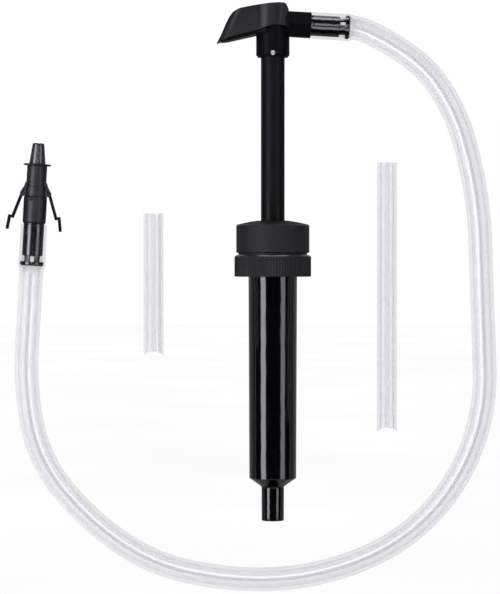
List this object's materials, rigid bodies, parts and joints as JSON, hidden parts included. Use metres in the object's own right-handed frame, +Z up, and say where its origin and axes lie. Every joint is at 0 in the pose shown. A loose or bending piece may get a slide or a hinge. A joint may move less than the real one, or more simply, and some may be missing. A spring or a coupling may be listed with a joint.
{
  "type": "fluid transfer pump",
  "caption": "Hand-operated fluid transfer pump for a 38 mm bottle neck: palm head, plunger rod, closure, barrel, clear hose with a slim two-arm adapter, and spare dip tubes.",
  "frame": {"origin": "on the pump axis, at the underside of the gasket where it rests on the bottle neck's rim", "axes": "+Z up along the pump axis, +X towards the spout, -Y towards the viewer of the picture"},
  "size_m": [0.3007, 0.0515, 0.3595],
  "materials": {
    "gloss_black": "glossy moulded black",
    "satin_black": "satin moulded black",
    "cover_black": "satin moulded black with a fine grip hatch on the nose",
    "rod_black": "smooth low-sheen black",
    "adapter_black": "soft-sheen moulded black",
    "dark_steel": "blackened steel",
    "matte_black": "fine matte moulded black",
    "charcoal": "matte charcoal",
    "natural_plastic": "natural unpigmented plastic",
    "black_rubber": "soft black rubber",
    "grey_rubber": "soft grey rubber",
    "steel": "bright steel",
    "polished_steel": "polished ball",
    "clear_hose": "milky clear flexible plastic",
    "clear_tube": "milky clear plastic"
  },
  "bodies": {
    "pump_base": {"barrel": "gloss_black", "gland_cap": "charcoal", "rod_guide": "natural_plastic", "rod_wiper": "black_rubber", "bottle_gasket": "grey_rubber", "inlet_cage": "natural_plastic", "return_spring": "steel"},
    "bottle_ring": {"bottle_ring": "charcoal"},
    "inlet_ball": {"inlet_ball": "polished_steel"},
    "piston": {"piston": "natural_plastic", "piston_seal": "black_rubber"},
    "plunger": {"rod": "rod_black", "rod_valve_seat": "steel", "head_body": "matte_black", "head_cover": "cover_black", "head_screw": "steel"},
    "discharge_ball": {"discharge_ball": "polished_steel"},
    "hose_outlet": {"spout_spigot": "gloss_black", "spout_o_ring": "black_rubber", "hose_upper": "clear_hose"},
    "hose_free_end": {"hose_lower": "clear_hose", "adapter_spigot": "gloss_black", "adapter_o_ring": "black_rubber"},
    "adapter": {"adapter_hub": "adapter_black", "adapter_body": "adapter_black", "arm_collar": "adapter_black", "arm_pins": "dark_steel", "disc_seal": "black_rubber", "adapter_tip": "satin_black"},
    "left_arm": {"left_arm": "satin_black"},
    "right_arm": {"right_arm": "satin_black"},
    "short_dip_tube": {"short_dip_tube": "clear_tube"},
    "long_dip_tube": {"long_dip_tube": "clear_tube"}
  },
  "joints": [
    {"name": "plunger_stroke", "type": "slide", "parent": "pump_base", "child": "piston", "axis": [0, 0, -1], "range_m": [0, 0.095], "stiffness_N_per_m": 60, "springref_m": -0.06, "deforming": ["return_spring"]},
    {"name": "head_swivel", "type": "hinge", "parent": "piston", "child": "plunger", "pos_m": [0, 0, 0], "axis": [0, 0, 1], "continuous": true},
    {"name": "ring_spin", "type": "hinge", "parent": "pump_base", "child": "bottle_ring", "pos_m": [0, 0, 0], "axis": [0, 0, 1], "continuous": true},
    {"name": "inlet_ball_lift", "type": "slide", "parent": "pump_base", "child": "inlet_ball", "axis": [0, 0, 1], "range_m": [0, 0.0028]},
    {"name": "discharge_ball_lift", "type": "slide", "parent": "plunger", "child": "discharge_ball", "axis": [0, 0, 1], "range_m": [0, 0.0024]},
    {"name": "hose_swivel", "type": "hinge", "parent": "plunger", "child": "hose_outlet", "pos_m": [0.02351, 0, 0.14474], "axis": [0.9984, 0, -0.0558], "range_deg": [-70, 70]},
    {"name": "hose_flex", "type": "hinge", "parent": "hose_outlet", "child": "hose_free_end", "pos_m": [-0.00746, 0, -0.19451], "axis": [0, 1, 0], "range_deg": [-14, 14], "stiffness_Nm_per_rad": 2},
    {"name": "adapter_swivel", "type": "hinge", "parent": "hose_free_end", "child": "adapter", "pos_m": [-0.14619, 0, 0.02309], "axis": [0.0576, 0, 0.9983], "continuous": true},
    {"name": "left_arm_fold", "type": "hinge", "parent": "adapter", "child": "left_arm", "pos_m": [-0.15332, 0, 0.04274], "axis": [0, 1, 0], "range_deg": [-15, 18]},
    {"name": "right_arm_fold", "type": "hinge", "parent": "adapter", "child": "right_arm", "pos_m": [-0.13685, 0, 0.04179], "axis": [0, -1, 0], "range_deg": [-15, 18]},
    {"name": "short_tube_lift_off", "type": "slide", "parent": "pump_base", "child": "short_dip_tube", "axis": [0, -1, 0], "range_m": [0, 0.1]},
    {"name": "long_tube_lift_off", "type": "slide", "parent": "pump_base", "child": "long_dip_tube", "axis": [0, -1, 0], "range_m": [0, 0.1]}
  ]
}
